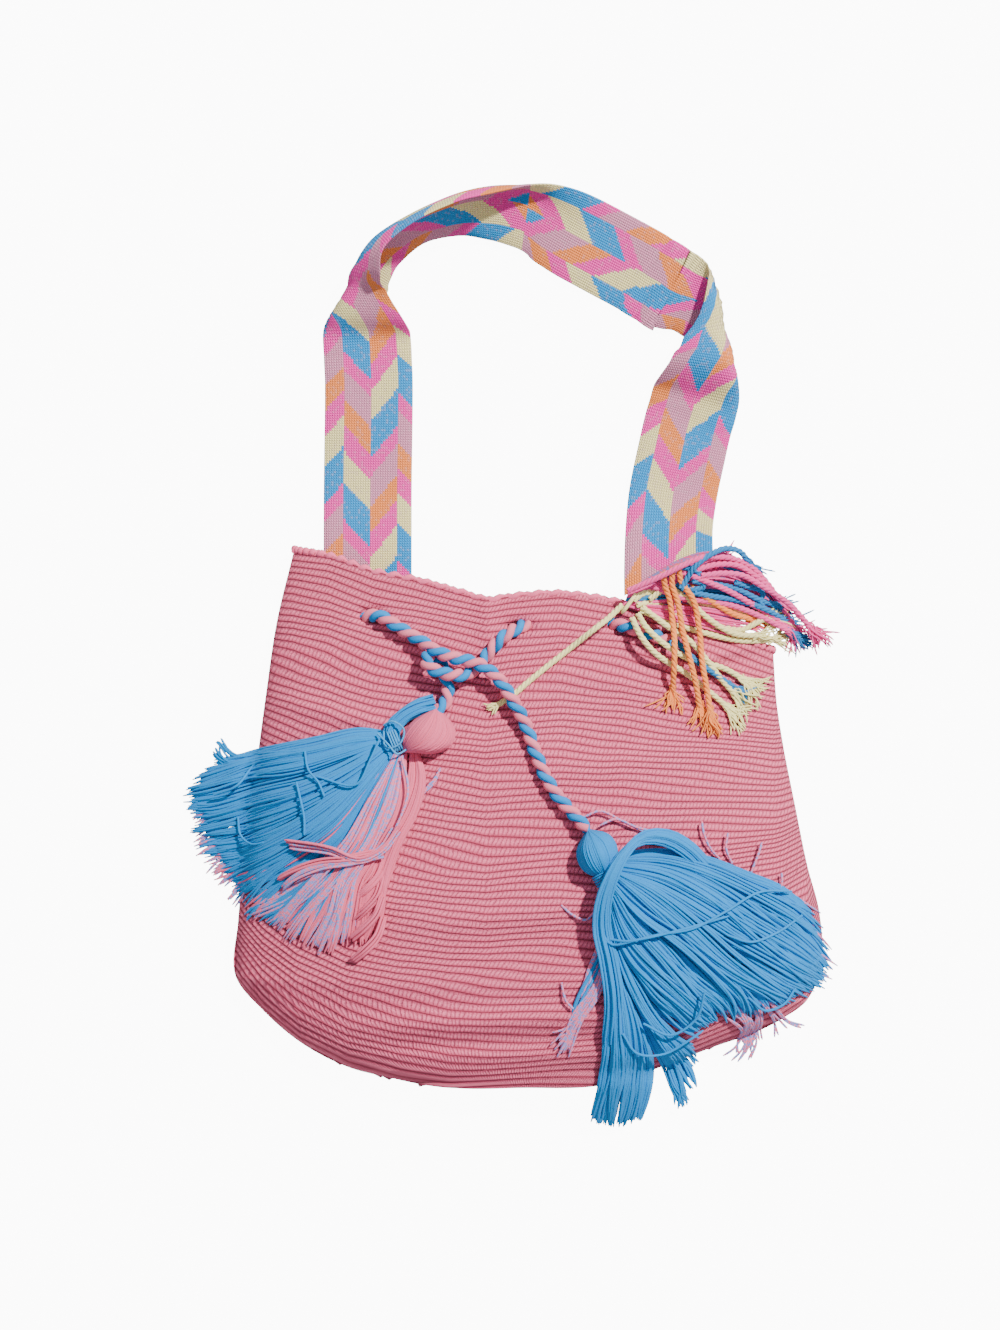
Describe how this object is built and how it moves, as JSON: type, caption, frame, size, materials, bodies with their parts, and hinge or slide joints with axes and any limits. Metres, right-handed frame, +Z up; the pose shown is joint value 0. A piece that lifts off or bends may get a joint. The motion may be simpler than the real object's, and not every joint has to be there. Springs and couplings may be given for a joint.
{
  "type": "wayuu mochila bag",
  "caption": "Crocheted cotton bucket bag lying on its back, with a woven zigzag shoulder strap, a twisted drawstring and loose yarn tassels",
  "frame": {"origin": "the middle of the flat back panel, on the floor the bag lies on", "axes": "+Y runs from the base to the mouth and the strap, +Z is up, out of the front panel, and +X is to the right seen from above"},
  "size_m": [0.327, 0.4686, 0.064],
  "materials": {
    "pink_cotton": "matte",
    "blue_cotton": "matte",
    "hot_pink_yarn": "matte",
    "orange_yarn": "matte",
    "cream_yarn": "matte",
    "strap_weave": "matte"
  },
  "bodies": {
    "root": {"bag_body": "pink_cotton", "shoulder_strap": "strap_weave", "drawstring": "blue_cotton", "left_tassel_head": "pink_cotton", "left_tassel_loop": "blue_cotton", "left_tassel_binding": "pink_cotton", "left_tassel_blue_yarn": "blue_cotton", "left_tassel_pink_yarn": "pink_cotton", "right_tassel_head": "blue_cotton", "right_tassel_binding": "pink_cotton", "right_tassel_main_yarn": "blue_cotton", "right_tassel_lower_yarn": "blue_cotton", "cream_yarn_tail": "cream_yarn", "strap_end_knot": "cream_yarn", "cream_yarn_end_1": "cream_yarn", "cream_yarn_end_2": "cream_yarn", "cream_yarn_end_3": "cream_yarn", "cream_yarn_end_4": "cream_yarn", "cream_yarn_end_5": "cream_yarn", "orange_yarn_end_1": "orange_yarn", "orange_yarn_end_2": "orange_yarn", "orange_yarn_end_3": "orange_yarn", "blue_yarn_end_1": "blue_cotton", "blue_yarn_end_2": "blue_cotton", "blue_yarn_end_3": "blue_cotton", "pink_yarn_end_1": "hot_pink_yarn", "pink_yarn_end_2": "hot_pink_yarn"}
  },
  "joints": []
}
